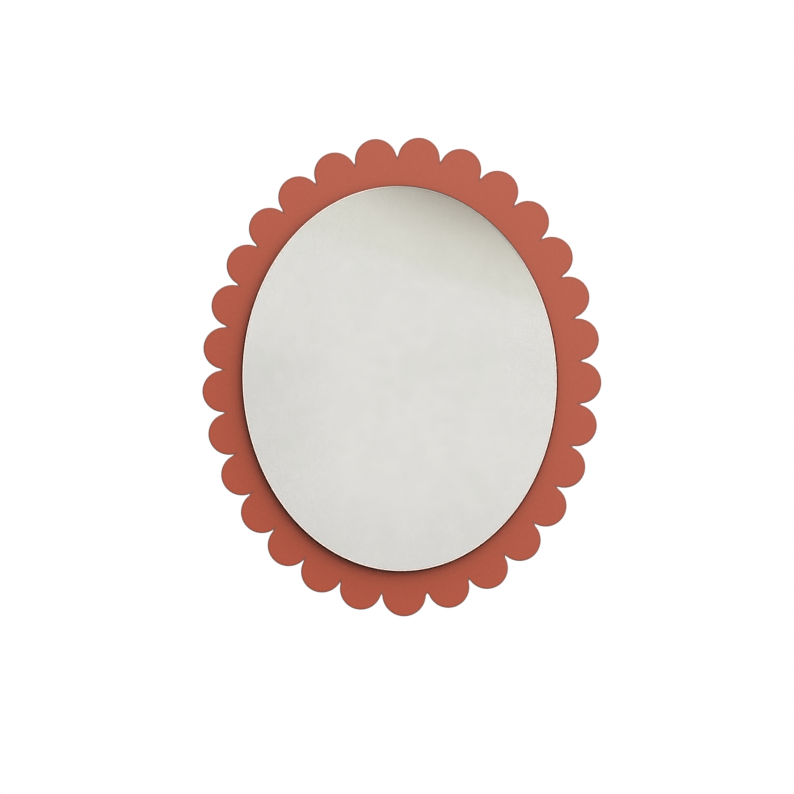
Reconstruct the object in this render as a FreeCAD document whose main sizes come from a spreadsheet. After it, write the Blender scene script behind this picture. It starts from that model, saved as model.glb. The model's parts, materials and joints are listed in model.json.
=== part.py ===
"""Oval wall mirror: a scalloped panel that carries an oval glass and hangs on two rings.

Millimetres. +Z is up, +X is to the right of someone who looks into the mirror, and the
front faces -Y. The origin lies on the wall plane, behind the centre of the panel.
"""
import FreeCAD, Part
import Sketcher
import math
import os

V = FreeCAD.Vector

# Driving dimensions, in millimetres, degrees and counts
SIZES = {
    # Panel: an oval board whose rim line carries a row of round lobes
    "rim_width": 447.8,
    "rim_height": 547.2,
    "rim_web": 2.2,
    "lobe_count": 29,
    "lobe_radius": 26.3,
    "lobe_row_shift": 5.5,
    # The row was set out by hand from the foot round to the right, so its end is crowded
    "crowded_lobes": 5,
    "crowded_pull": 3.3,
    "foot_lobe_radius": 27.4,
    "foot_lobe_shift": 3.0,
    "panel_thickness": 15.0,
    "panel_edge_round": 0.8,
    # Glass: set on its board by hand, so a little off centre and a little turned
    "glass_width": 394.0,
    "glass_height": 482.4,
    "glass_thickness": 4.0,
    "glass_front_arris": 1.9,
    "glass_back_arris": 0.5,
    "glass_shift_left": 2.6,
    "glass_shift_down": 3.2,
    "glass_turn": 1.6,
    # Mounting board between panel and glass
    "board_setback": 12.0,
    "board_thickness": 5.5,
    "board_screw_column": 85.0,
    "board_screw_row": 150.0,
    "board_screw_length": 16.0,
    # Mirror tape and mastic between board and glass
    "tape_count": 4,
    "tape_width": 25.0,
    "tape_thickness": 1.0,
    "tape_side_inset": 57.0,
    "tape_end_inset": 25.0,
    "dab_radius": 15.0,
    "dab_row": 75.0,
    # Wood screws
    "screw_radius": 1.75,
    "screw_tip": 4.0,
    "screw_head_radius": 3.5,
    "screw_head_height": 2.4,
    "screw_head_round": 1.2,
    "screw_head_sink": 0.3,
    "recess_span": 4.0,
    "recess_width": 0.9,
    "recess_depth": 1.4,
    "screw_play": 0.05,
    "pilot_extra": 0.5,
    # Hangers: a strap with a rolled eye, and a ring that swings in the eye
    "hanger_spread": 190.0,
    "hanger_height": 120.0,
    "strap_width": 14.0,
    "strap_length": 46.0,
    "strap_thickness": 1.5,
    "strap_corner": 4.0,
    "strap_screw_first": 25.0,
    "strap_screw_pitch": 14.0,
    "strap_hole_radius": 2.0,
    "hanger_screw_length": 12.0,
    "ring_wire_radius": 1.5,
    "ring_inner_width": 20.0,
    "ring_corner": 4.0,
    "ring_leg": 2.5,
    "ring_play": 0.3,
    # Wall bumpers
    "bumper_spread_x": 300.0,
    "bumper_spread_z": 330.0,
    "bumper_height": 8.0,
    "bumper_base_radius": 10.0,
    "bumper_face_radius": 8.5,
    "bumper_round": 1.0,
}

doc = FreeCAD.newDocument("oval_wall_mirror")
sheet = doc.addObject("Spreadsheet::Sheet", "dims")
for row, (alias, number) in enumerate(SIZES.items(), start=1):
    sheet.set(f"A{row}", alias)
    sheet.set(f"B{row}", str(number))
    sheet.setAlias(f"B{row}", alias)
doc.recompute()


def dim(alias):
    """Expression that reads one driving dimension."""
    return f"<<dims>>.{alias}"


def size(alias):
    """Number that one driving dimension holds now."""
    return float(sheet.get(alias))


# Expressions that several pieces share
BOARD_WIDTH = f"({dim('glass_width')} - 2 * {dim('board_setback')})"
BOARD_HEIGHT = f"({dim('glass_height')} - 2 * {dim('board_setback')})"
PANEL_BACK_Y = f"(-{dim('bumper_height')})"
PANEL_FRONT_Y = f"({PANEL_BACK_Y} - {dim('panel_thickness')})"
BOARD_FRONT_Y = f"({PANEL_FRONT_Y} - {dim('board_thickness')})"
GLASS_BACK_Y = f"({BOARD_FRONT_Y} - {dim('tape_thickness')})"
TAPE_PITCH = f"(({BOARD_WIDTH} - 2 * {dim('tape_side_inset')}) / ({dim('tape_count')} - 1))"
PILOT_RADIUS = f"({dim('screw_radius')} + {dim('screw_play')})"
EYE_INNER_RADIUS = f"({dim('ring_wire_radius')} + {dim('ring_play')})"
EYE_OUTER_RADIUS = f"({EYE_INNER_RADIUS} + {dim('strap_thickness')})"
RING_HALF_WIDTH = f"({dim('ring_inner_width')} / 2 + {dim('ring_wire_radius')})"

# Flat pieces are drawn lying down with +Z for the front, then stood up to face -Y
FACE_FRONT = FreeCAD.Rotation(V(1, 0, 0), 90)
# Turned pieces on the back are drawn along +Z, then laid over to face the wall at +Y
FACE_WALL = FreeCAD.Rotation(V(1, 0, 0), -90)

SIDES = {"left": -1, "right": 1}
LEVELS = {"bottom": -1, "top": 1}
BOARD_SCREW_ROWS = (-1, 0, 1)
STRAP_SCREWS = 2
FULL_TURN = 360
RECESS_BARS = 2
TOLERANCE = 1e-4
# Sketch references: the origin, the two axes, and the start, end and centre of a line or arc
ORIGIN = (-1, 1)
ACROSS_AXIS = -1
UP_AXIS = -2
START, END, CENTRE = range(1, 4)


def bind(thing, **expressions):
    """Bind properties to expressions; a double underscore in a name stands for a dot."""
    for name, expression in expressions.items():
        thing.setExpression(name.replace("__", "."), expression)


def place(thing, rotation, x="0", y="0", z="0"):
    """Turn a piece by a fixed rotation and bind the place of its own origin."""
    thing.Placement = FreeCAD.Placement(V(), rotation)
    bind(thing, Placement__Base__x=x, Placement__Base__y=y, Placement__Base__z=z)


def cylinder(name, radius, height, x, y, z="0", seam=0):
    """Upright cylinder whose foot centre lies at the given place, with its seam at an angle."""
    solid = doc.addObject("Part::Cylinder", name)
    bind(solid, Radius=radius, Height=height)
    place(solid, FreeCAD.Rotation(V(0, 0, 1), seam), x, y, z)
    return solid


def oval(name, width, height, turn="0"):
    """Ellipse about the origin in the XY plane."""
    outline = doc.addObject("Part::Ellipse", f"{name}_outline")
    outline.Placement = FreeCAD.Placement(V(), FreeCAD.Rotation(V(0, 0, 1), 90))
    bind(
        outline,
        MajorRadius=f"max({width}; {height}) / 2",
        MinorRadius=f"min({width}; {height}) / 2",
        Placement__Rotation__Angle=f"({height} >= {width} ? 90 deg : 0 deg) + {turn} * 1 deg",
    )
    return outline


def oval_plate(name, width, height, thickness, turn="0"):
    """Elliptical plate about the origin, with its back on the XY plane."""
    plate = doc.addObject("Part::Extrusion", f"{name}_blank")
    plate.Base = oval(name, width, height, turn)
    plate.DirMode = "Custom"
    plate.Dir = V(0, 0, 1)
    plate.Solid = True
    bind(plate, LengthFwd=thickness)
    return plate


def fused(name, solids):
    """Union of several solids, with the seams between flush faces removed."""
    union = doc.addObject("Part::MultiFuse", name)
    union.Shapes = solids
    union.Refine = True
    return union


def drilled(name, base, tools):
    """A solid with several tools cut out of it."""
    result = doc.addObject("Part::Cut", name)
    result.Base = base
    result.Tool = fused(f"{name}_tools", tools)
    return result


def group(name, solids):
    """Several separate solids under one name."""
    result = doc.addObject("Part::Compound", name)
    result.Links = solids
    return result


def eased(kind, name, base, height, amount):
    """Round or chamfer every edge of a solid that lies flat at one height."""
    doc.recompute()
    edges = []
    for number, edge in enumerate(base.Shape.Edges, start=1):
        box = edge.BoundBox
        if max(abs(box.ZMin - height), abs(box.ZMax - height)) < TOLERANCE:
            edges.append((number, amount, amount))
    result = doc.addObject(kind, name)
    result.Base = base
    result.Edges = edges
    return result


def new_sketch(body, name, role, lift="0"):
    """Sketch on one of a body's own origin planes, lifted along the plane's normal."""
    sketch = body.newObject("Sketcher::SketchObject", name)
    plane = next(item for item in body.Origin.OriginFeatures if item.Role == role)
    sketch.AttachmentSupport = (plane, [""])
    sketch.MapMode = "FlatFace"
    bind(sketch, AttachmentOffset__Base__z=lift)
    return sketch


def value(sketch, expression):
    """Number that an expression has now."""
    return float(sketch.evalExpression(expression))


def measure(sketch, name, expression, kind, *where):
    """Add one named dimension to a sketch and bind it to an expression."""
    constraint = Sketcher.Constraint(kind, *where, value(sketch, expression))
    sketch.renameConstraint(sketch.addConstraint(constraint), name)
    bind(sketch, **{f"Constraints__{name}": expression})


def pinned_outline(sketch, corners):
    """Closed outline of straight sides, each corner held at its (across, up) expressions."""
    points = [V(value(sketch, across), value(sketch, up), 0) for across, up in corners]
    sides = range(len(points))
    for side in sides:
        sketch.addGeometry(Part.LineSegment(points[side], points[(side + 1) % len(points)]))
    for side in sides:
        following = (side + 1) % len(points)
        sketch.addConstraint(Sketcher.Constraint("Coincident", side, END, following, START))
    for side, (across, up) in enumerate(corners):
        if across == "0":
            sketch.addConstraint(Sketcher.Constraint("PointOnObject", side, START, UP_AXIS))
        else:
            measure(sketch, f"across_{side}", across, "DistanceX", *ORIGIN, side, START)
        if up == "0":
            sketch.addConstraint(Sketcher.Constraint("PointOnObject", side, START, ACROSS_AXIS))
        else:
            measure(sketch, f"up_{side}", up, "DistanceY", *ORIGIN, side, START)


def turned_body(name, corners):
    """Body of revolution about its own Z axis from (radius, height) corners."""
    body = doc.addObject("PartDesign::Body", name)
    sketch = new_sketch(body, f"{name}_profile", "XZ_Plane")
    pinned_outline(sketch, corners)
    turn = body.newObject("PartDesign::Revolution", f"{name}_turn")
    turn.Profile = sketch
    turn.ReferenceAxis = (sketch, ["V_Axis"])
    turn.Angle = FULL_TURN
    doc.recompute()
    return body


def round_edges(body, radius, picked):
    """Fillet the edges of a body that a test picks."""
    doc.recompute()
    base = body.Tip
    names = [f"Edge{n}" for n, edge in enumerate(base.Shape.Edges, start=1) if picked(edge)]
    fillet = body.newObject("PartDesign::Fillet", f"{body.Name}_round")
    fillet.Base = (base, names)
    bind(fillet, Radius=radius)
    doc.recompute()


def pocket(body, sketch, depth=None):
    """Cut a sketch out of a body, to a depth or right through, and test that it cut."""
    doc.recompute()
    before = body.Shape.Volume
    cut = body.newObject("PartDesign::Pocket", f"{sketch.Name}_cut")
    cut.Profile = sketch
    if depth is None:
        cut.Type = "ThroughAll"
        cut.SideType = "Symmetric"
    else:
        bind(cut, Length=depth)
    doc.recompute()
    if body.Shape.Volume >= before:
        raise RuntimeError(f"{cut.Name} cuts nothing")
    return cut


def board_screw_places():
    """Across and up expressions of the screws that hold the mounting board."""
    return [
        (f"{side} * {dim('board_screw_column')}", f"{row} * {dim('board_screw_row')}")
        for side in SIDES.values()
        for row in BOARD_SCREW_ROWS
    ]


def hanger_x(side):
    """Expression for the middle of one hanger, across."""
    return f"{SIDES[side]} * {dim('hanger_spread')} / 2"


def strap_screw_drops():
    """Expressions for how far each strap screw lies below the ring's pivot."""
    return [
        f"({dim('strap_screw_first')} + {number} * {dim('strap_screw_pitch')})"
        for number in range(STRAP_SCREWS)
    ]


def strap_screw_places(side):
    """Across and up expressions of the screws in one strap."""
    return [(hanger_x(side), f"{dim('hanger_height')} - {drop}") for drop in strap_screw_drops()]


def lobe_shifts():
    """How far along the rim line each lobe stands past an even row that starts at the foot."""
    crowded = int(size("crowded_lobes"))
    shifts = [size("lobe_row_shift")] * int(size("lobe_count"))
    for step in range(crowded):
        shifts[step - crowded] -= size("crowded_pull") * (step + 1) / crowded
    shifts[0] = size("foot_lobe_shift")
    return shifts


def lobe_angles(rim):
    """Angles on the rim line's oval, in degrees, of the lobes' centres, the foot lobe first."""
    shifts = lobe_shifts()
    pitch = rim.Length / len(shifts)
    # The rim line's edge starts at the top of a tall oval and at the right of a wide one
    foot = rim.Length * (0.5 if size("rim_height") >= size("rim_width") else 0.75)
    angles = []
    for number, shift in enumerate(shifts):
        along = (foot + number * pitch + shift) % rim.Length
        point = rim.valueAt(rim.getParameterByLength(along))
        across = point.x / size("rim_width")
        up = point.y / size("rim_height")
        angles.append(math.degrees(math.atan2(up, across)))
    return angles


def make_scalloped_panel():
    """Oval board with rounded lobes along its rim line and pilot holes in both faces."""
    thickness = dim("panel_thickness")
    width, height = (f"({dim(span)} + 2 * {dim('rim_web')})" for span in ("rim_width", "rim_height"))
    rim = oval("rim", dim("rim_width"), dim("rim_height"))
    doc.recompute()
    front = size("panel_thickness")
    # The notches between the lobes have square floors: a round-over cutter does not reach them
    pieces = [oval_plate("panel", width, height, thickness)]
    for number, angle in enumerate(lobe_angles(rim.Shape.Edge1)):
        radius = dim("lobe_radius") if number else dim("foot_lobe_radius")
        x = f"{dim('rim_width')} / 2 * cos({angle} deg)"
        y = f"{dim('rim_height')} / 2 * sin({angle} deg)"
        # Each lobe's seam lies at its tip, clear of the oval and of the lobes beside it
        disc = cylinder(f"lobe_disc_{number}", radius, thickness, x, y, seam=angle)
        pieces.append(
            eased("Part::Fillet", f"lobe_{number}", disc, front, size("panel_edge_round"))
        )

    holes = []
    depth = f"({dim('board_screw_length')} + {dim('screw_head_sink')} - {dim('board_thickness')}"
    depth += f" + {dim('pilot_extra')})"
    for number, (x, y) in enumerate(board_screw_places()):
        lift = f"{thickness} - {depth}"
        holes.append(cylinder(f"board_pilot_{number}", PILOT_RADIUS, depth, x, y, lift))
    depth = f"({dim('hanger_screw_length')} - {dim('strap_thickness')} + {dim('pilot_extra')})"
    for side in SIDES:
        for number, (x, y) in enumerate(strap_screw_places(side)):
            holes.append(cylinder(f"strap_pilot_{side}_{number}", PILOT_RADIUS, depth, x, y))

    panel = drilled("scalloped_panel", fused("panel_board", pieces), holes)
    place(panel, FACE_FRONT, y=PANEL_BACK_Y)
    return panel


def make_mounting_board():
    """Thin oval board with countersunk screw holes."""
    plate = oval_plate("board", BOARD_WIDTH, BOARD_HEIGHT, dim("board_thickness"))
    seat_radius = f"({dim('screw_head_radius')} + {dim('screw_head_sink')} + {dim('screw_play')})"
    seat_depth = f"({seat_radius} - {PILOT_RADIUS})"
    tools = []
    for number, (x, y) in enumerate(board_screw_places()):
        tools.append(cylinder(f"board_hole_{number}", PILOT_RADIUS, dim("board_thickness"), x, y))
        seat = doc.addObject("Part::Cone", f"board_seat_{number}")
        bind(seat, Radius1=PILOT_RADIUS, Radius2=seat_radius, Height=seat_depth)
        place(seat, FreeCAD.Rotation(), x, y, f"{dim('board_thickness')} - {seat_depth}")
        tools.append(seat)
    board = drilled("mounting_board", plate, tools)
    place(board, FACE_FRONT, y=PANEL_FRONT_Y)
    return board


def make_mirror_glass():
    """Oval glass with a ground arris along its front edge and a smaller one along its back."""
    plate = oval_plate(
        "glass", dim("glass_width"), dim("glass_height"), dim("glass_thickness"), dim("glass_turn")
    )
    ground = eased("Part::Chamfer", "glass_ground", plate, 0, size("glass_back_arris"))
    front = size("glass_thickness")
    glass = eased("Part::Chamfer", "mirror_glass", ground, front, size("glass_front_arris"))
    x = f"-{dim('glass_shift_left')}"
    z = f"-{dim('glass_shift_down')}"
    place(glass, FACE_FRONT, x, GLASS_BACK_Y, z)
    return glass


def make_tape_strips():
    """Upright strips of mirror tape, each as long as the board allows."""
    count = int(size("tape_count"))
    strips = []
    for number in range(count):
        middle = f"{number - (count - 1) / 2} * {TAPE_PITCH}"
        reach = f"(abs({middle}) + {dim('tape_width')} / 2)"
        half_chord = f"{BOARD_HEIGHT} / 2 * sqrt(1 - pow(2 * {reach} / {BOARD_WIDTH}; 2))"
        half_length = f"({half_chord} - {dim('tape_end_inset')})"
        strip = doc.addObject("Part::Box", f"tape_strip_{number}")
        bind(strip, Length=dim("tape_width"), Width=f"2 * {half_length}", Height=dim("tape_thickness"))
        place(strip, FreeCAD.Rotation(), f"{middle} - {dim('tape_width')} / 2", f"-{half_length}")
        strips.append(strip)
    tape = group("tape_strips", strips)
    place(tape, FACE_FRONT, y=BOARD_FRONT_Y)
    return tape


def make_mastic_dabs():
    """Round dabs of mastic, two in each gap between the tape strips."""
    gaps = int(size("tape_count")) - 1
    dabs = []
    for number in range(gaps):
        x = f"{number - (gaps - 1) / 2} * {TAPE_PITCH}"
        for level, sign in LEVELS.items():
            y = f"{sign} * {dim('dab_row')}"
            name = f"mastic_dab_{number}_{level}"
            dabs.append(cylinder(name, dim("dab_radius"), dim("tape_thickness"), x, y))
    mastic = group("mastic_dabs", dabs)
    place(mastic, FACE_FRONT, y=BOARD_FRONT_Y)
    return mastic


def add_cross_recess(body, top):
    """Cross recess in a screw head whose top lies at a height."""
    half_span = f"{dim('recess_span')} / 2"
    half_width = f"{dim('recess_width')} / 2"
    sketch = new_sketch(body, f"{body.Name}_recess", "XY_Plane", top)
    pinned_outline(
        sketch,
        [
            (f"-{half_span}", f"-{half_width}"),
            (half_span, f"-{half_width}"),
            (half_span, half_width),
            (f"-{half_span}", half_width),
        ],
    )
    bar = pocket(body, sketch, dim("recess_depth"))
    cross = body.newObject("PartDesign::PolarPattern", f"{body.Name}_cross")
    cross.Originals = [bar]
    cross.Axis = (sketch, ["N_Axis"])
    cross.Angle = FULL_TURN / (2 * RECESS_BARS)
    cross.Occurrences = RECESS_BARS
    body.Tip = cross


def pan_head_screw(name):
    """Wood screw along Z whose head sits on the XY plane."""
    length = f"-{dim('hanger_screw_length')}"
    head_top = dim("screw_head_height")
    body = turned_body(
        name,
        [
            ("0", length),
            (dim("screw_radius"), f"{length} + {dim('screw_tip')}"),
            (dim("screw_radius"), "0"),
            (dim("screw_head_radius"), "0"),
            (dim("screw_head_radius"), head_top),
            ("0", head_top),
        ],
    )
    top = size("screw_head_height")
    round_edges(body, dim("screw_head_round"), lambda edge: edge.BoundBox.ZMin > top - TOLERANCE)
    add_cross_recess(body, head_top)
    return body


def flat_head_screw(name):
    """Countersunk wood screw along Z whose head ends on the XY plane."""
    length = f"-{dim('board_screw_length')}"
    body = turned_body(
        name,
        [
            ("0", length),
            (dim("screw_radius"), f"{length} + {dim('screw_tip')}"),
            (dim("screw_radius"), f"{dim('screw_radius')} - {dim('screw_head_radius')}"),
            (dim("screw_head_radius"), "0"),
            ("0", "0"),
        ],
    )
    add_cross_recess(body, "0")
    return body


def make_board_screws():
    """Screws through the mounting board into the front of the panel."""
    screws = []
    for number, (x, z) in enumerate(board_screw_places()):
        screw = flat_head_screw(f"board_screw_{number}")
        place(screw, FACE_FRONT, x, f"{BOARD_FRONT_Y} + {dim('screw_head_sink')}", z)
        screws.append(screw)
    return group("board_screws", screws)


def make_hanger_screws(side):
    """Screws through one strap into the back of the panel."""
    screws = []
    for number, (x, z) in enumerate(strap_screw_places(side)):
        screw = pan_head_screw(f"hanger_screw_{side}_{number}")
        place(screw, FACE_WALL, x, f"{PANEL_BACK_Y} + {dim('strap_thickness')}", z)
        screws.append(screw)
    return group(f"hanger_screws_{side}", screws)


def place_at_pivot(body, side):
    """Put a body drawn about the ring's pivot where one hanger has that pivot."""
    pivot_y = f"{PANEL_BACK_Y} + {EYE_OUTER_RADIUS}"
    place(body, FreeCAD.Rotation(), hanger_x(side), pivot_y, dim("hanger_height"))


def make_hanger_strap(side):
    """Steel strap drawn about the ring's pivot: a plate whose top rolls into an open eye."""
    name = f"hanger_strap_{side}"
    body = doc.addObject("PartDesign::Body", name)
    sketch = new_sketch(body, f"{name}_side", "YZ_Plane")
    inner = value(sketch, EYE_INNER_RADIUS)
    outer = value(sketch, EYE_OUTER_RADIUS)
    length = size("strap_length")
    roll = (-math.pi / 2, math.pi)
    sketch.addGeometry(Part.ArcOfCircle(Part.Circle(V(), V(0, 0, 1), inner), *roll))
    sketch.addGeometry(Part.ArcOfCircle(Part.Circle(V(), V(0, 0, 1), outer), *roll))
    corners = [V(-inner, 0, 0), V(-inner, -length, 0), V(-outer, -length, 0), V(-outer, 0, 0)]
    sketch.addGeometry(Part.LineSegment(V(0, -inner, 0), V(0, -outer, 0)))
    for first, second in zip(corners, corners[1:]):
        sketch.addGeometry(Part.LineSegment(first, second))
    inner_roll, outer_roll, lip, room_side, foot, panel_side = range(6)
    joins = [
        ("Coincident", inner_roll, CENTRE, *ORIGIN),
        ("Coincident", outer_roll, CENTRE, *ORIGIN),
        ("PointOnObject", inner_roll, START, UP_AXIS),
        ("PointOnObject", outer_roll, START, UP_AXIS),
        ("PointOnObject", inner_roll, END, ACROSS_AXIS),
        ("PointOnObject", outer_roll, END, ACROSS_AXIS),
        ("Coincident", lip, START, inner_roll, START),
        ("Coincident", lip, END, outer_roll, START),
        ("Coincident", room_side, START, inner_roll, END),
        ("Coincident", room_side, END, foot, START),
        ("Coincident", foot, END, panel_side, START),
        ("Coincident", panel_side, END, outer_roll, END),
        ("Vertical", room_side),
        ("Horizontal", foot),
        ("Vertical", panel_side),
    ]
    for join in joins:
        sketch.addConstraint(Sketcher.Constraint(*join))
    measure(sketch, "eye_inner", EYE_INNER_RADIUS, "Radius", inner_roll)
    measure(sketch, "eye_outer", EYE_OUTER_RADIUS, "Radius", outer_roll)
    measure(sketch, "reach", dim("strap_length"), "DistanceY", room_side, END, *ORIGIN)
    plate = body.newObject("PartDesign::Pad", f"{name}_plate")
    plate.Profile = sketch
    plate.SideType = "Symmetric"
    bind(plate, Length=dim("strap_width"))

    holes = new_sketch(body, f"{name}_holes", "XZ_Plane")
    for number, drop in enumerate(strap_screw_drops()):
        centre = V(0, -value(holes, drop), 0)
        holes.addGeometry(Part.Circle(centre, V(0, 0, 1), size("strap_hole_radius")))
        holes.addConstraint(Sketcher.Constraint("PointOnObject", number, CENTRE, UP_AXIS))
        measure(holes, f"drop_{number}", drop, "DistanceY", number, CENTRE, *ORIGIN)
        measure(holes, f"hole_{number}", dim("strap_hole_radius"), "Radius", number)
    pocket(body, holes)

    def at_foot_corner(edge):
        box = edge.BoundBox
        return box.XLength + box.ZLength < TOLERANCE and box.ZMax < -length + TOLERANCE

    round_edges(body, dim("strap_corner"), at_foot_corner)
    place_at_pivot(body, side)
    return body


def make_hanger_ring(side):
    """Wire ring drawn about its pivot: a straight bar along X and a round loop that hangs down."""
    name = f"hanger_ring_{side}"
    body = doc.addObject("PartDesign::Body", name)
    path = new_sketch(body, f"{name}_path", "XZ_Plane")
    half = value(path, RING_HALF_WIDTH)
    corner = size("ring_corner")
    drop = corner + size("ring_leg")
    normal = V(0, 0, 1)
    bend = half - corner
    right_bend = Part.Circle(V(bend, -corner, 0), normal, corner)
    left_bend = Part.Circle(V(-bend, -corner, 0), normal, corner)
    bow = Part.Circle(V(0, -drop, 0), normal, half)
    path.addGeometry(
        [
            Part.LineSegment(V(), V(bend, 0, 0)),
            Part.ArcOfCircle(right_bend, 0, math.pi / 2),
            Part.LineSegment(V(half, -corner, 0), V(half, -drop, 0)),
            Part.ArcOfCircle(bow, math.pi, 2 * math.pi),
            Part.LineSegment(V(-half, -drop, 0), V(-half, -corner, 0)),
            Part.ArcOfCircle(left_bend, math.pi / 2, math.pi),
            Part.LineSegment(V(-bend, 0, 0), V()),
        ]
    )
    right_bar, right_arc, right_leg, bow_arc, left_leg, left_arc, left_bar = range(7)
    joins = [
        ("Coincident", right_bar, START, *ORIGIN),
        ("Coincident", left_bar, END, *ORIGIN),
        ("Horizontal", right_bar),
        ("Horizontal", left_bar),
        ("Tangent", right_bar, END, right_arc, END),
        ("Tangent", right_arc, START, right_leg, START),
        ("Tangent", right_leg, END, bow_arc, END),
        ("Tangent", bow_arc, START, left_leg, START),
        ("Tangent", left_leg, END, left_arc, END),
        ("Tangent", left_arc, START, left_bar, START),
        ("Vertical", right_leg),
        ("PointOnObject", bow_arc, CENTRE, UP_AXIS),
        ("Equal", right_arc, left_arc),
    ]
    for join in joins:
        path.addConstraint(Sketcher.Constraint(*join))
    measure(path, "bow", RING_HALF_WIDTH, "Radius", bow_arc)
    measure(path, "corner", dim("ring_corner"), "Radius", right_arc)
    measure(path, "leg", dim("ring_leg"), "Distance", right_leg)

    wire = new_sketch(body, f"{name}_wire", "YZ_Plane")
    wire.addGeometry(Part.Circle(V(), normal, size("ring_wire_radius")))
    wire.addConstraint(Sketcher.Constraint("Coincident", 0, CENTRE, *ORIGIN))
    measure(wire, "wire", dim("ring_wire_radius"), "Radius", 0)
    doc.recompute()
    sweep = body.newObject("PartDesign::AdditivePipe", f"{name}_sweep")
    sweep.Profile = wire
    sweep.Spine = path
    doc.recompute()
    expected = math.pi * size("ring_wire_radius") ** 2 * path.Shape.Length
    if abs(body.Shape.Volume - expected) > expected * TOLERANCE:
        raise RuntimeError(f"{name} has not the volume of its wire")
    place_at_pivot(body, side)
    return body


def make_bumper(level, side):
    """Rubber bumper that keeps the panel off the wall, with its flat face on the wall plane."""
    body = turned_body(
        f"bumper_{level}_{side}",
        [
            ("0", "0"),
            (dim("bumper_base_radius"), "0"),
            (dim("bumper_face_radius"), dim("bumper_height")),
            ("0", dim("bumper_height")),
        ],
    )
    top = size("bumper_height")
    round_edges(body, dim("bumper_round"), lambda edge: edge.BoundBox.ZMin > top - TOLERANCE)
    x = f"{SIDES[side]} * {dim('bumper_spread_x')} / 2"
    z = f"{LEVELS[level]} * {dim('bumper_spread_z')} / 2"
    place(body, FACE_WALL, x, PANEL_BACK_Y, z)
    return body


nodes = [
    make_scalloped_panel(),
    make_mounting_board(),
    make_board_screws(),
    make_tape_strips(),
    make_mastic_dabs(),
    make_mirror_glass(),
]
for side in SIDES:
    nodes.append(make_hanger_strap(side))
    nodes.append(make_hanger_ring(side))
    nodes.append(make_hanger_screws(side))
    for level in LEVELS:
        nodes.append(make_bumper(level, side))
doc.recompute()

for item in doc.Objects:
    if {"Invalid", "Error"} & set(item.State):
        raise RuntimeError(f"{item.Label} failed: {item.State}")
for node in nodes:
    if node.Shape.isNull() or not node.Shape.isValid():
        raise RuntimeError(f"{node.Label} has no valid shape")

os.makedirs("parts", exist_ok=True)
for node in nodes:
    node.Shape.exportStep(f"parts/{node.Label}.step")
    print(node.Label, len(node.Shape.Solids), node.Shape.BoundBox)
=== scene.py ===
"""Looks of an oval wall mirror: a scalloped lacquered panel that carries an oval glass.

Metres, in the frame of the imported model: +Z is up, the front faces -Y, the wall plane is y = 0.
"""
import json
import logging
import math
from dataclasses import dataclass
from enum import Enum
from typing import Any, Iterable, Optional, Union

import bmesh
import bpy
from mathutils import Matrix, Vector


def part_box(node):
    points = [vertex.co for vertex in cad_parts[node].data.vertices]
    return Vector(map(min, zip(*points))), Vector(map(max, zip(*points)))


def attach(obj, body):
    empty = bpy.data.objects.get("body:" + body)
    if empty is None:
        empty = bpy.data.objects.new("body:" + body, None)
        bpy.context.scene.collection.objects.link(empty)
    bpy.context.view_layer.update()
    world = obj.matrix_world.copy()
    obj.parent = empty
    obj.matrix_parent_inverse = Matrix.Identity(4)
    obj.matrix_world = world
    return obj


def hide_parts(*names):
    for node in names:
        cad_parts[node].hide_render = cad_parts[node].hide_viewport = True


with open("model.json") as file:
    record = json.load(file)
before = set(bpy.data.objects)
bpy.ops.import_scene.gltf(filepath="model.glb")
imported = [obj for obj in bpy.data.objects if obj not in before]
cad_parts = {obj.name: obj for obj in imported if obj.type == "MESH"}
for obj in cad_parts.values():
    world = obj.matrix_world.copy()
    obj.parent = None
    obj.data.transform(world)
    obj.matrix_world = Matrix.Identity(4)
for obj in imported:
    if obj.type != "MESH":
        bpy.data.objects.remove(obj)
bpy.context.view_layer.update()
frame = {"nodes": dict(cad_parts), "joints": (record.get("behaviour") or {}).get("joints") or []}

LOG = logging.getLogger("oval_wall_mirror")

Colour = tuple[float, float, float, float]
Number = Union["Sock", float]

FULL_TURN = 2 * math.pi
HALF_TURN = math.pi
QUARTER_TURN = math.pi / 2
RIGHT = Vector((1.0, 0.0, 0.0))
DOWN = Vector((0.0, 0.0, -1.0))
TOWARDS_ROOM = Vector((0.0, -1.0, 0.0))
TOWARDS_WALL = Vector((0.0, 1.0, 0.0))
LIE_TO_STAND = Matrix.Rotation(QUARTER_TURN, 4, "X")
CLOSE = 1e-6
DEPTH_DIGITS = 6
SHARP_ANGLE = math.radians(32)
CHAMFER = 1
NOISE_MEAN = 0.5
WHITE: Colour = (1.0, 1.0, 1.0, 1.0)

DISPLAY_WHITE = 255
SRGB_KNEE = 0.04045
SRGB_SLOPE = 12.92
SRGB_LIFT = 0.055
SRGB_POWER = 2.4


class Body(Enum):
    """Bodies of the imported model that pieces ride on."""

    MIRROR = "mirror"
    RING_LEFT = "ring_left"
    RING_RIGHT = "ring_right"


class Slot(Enum):
    """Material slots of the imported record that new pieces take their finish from."""

    LACQUER = "terracotta_lacquer"
    GLASS = "silvered_glass"
    WIRE = "zinc_wire"


class Side(Enum):
    """Left and right of someone who looks into the mirror."""

    LEFT = "left"
    RIGHT = "right"


class Level(Enum):
    """Upper and lower row of the wall bumpers."""

    TOP = "top"
    BOTTOM = "bottom"


class GlassFace(Enum):
    """Place of each finish among the materials of the glass."""

    CLEAR = 0
    SEALED = 1
    GROUND = 2


@dataclass(frozen=True)
class Grain:
    """Smooth noise: its cells to a metre, its finer octaves, and the share of those."""

    scale: float
    detail: float = 2.0
    roughness: float = 0.5


@dataclass(frozen=True)
class Ramp:
    """Smooth step: the value that gives 0 and the value that gives 1."""

    low: float
    high: float


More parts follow.
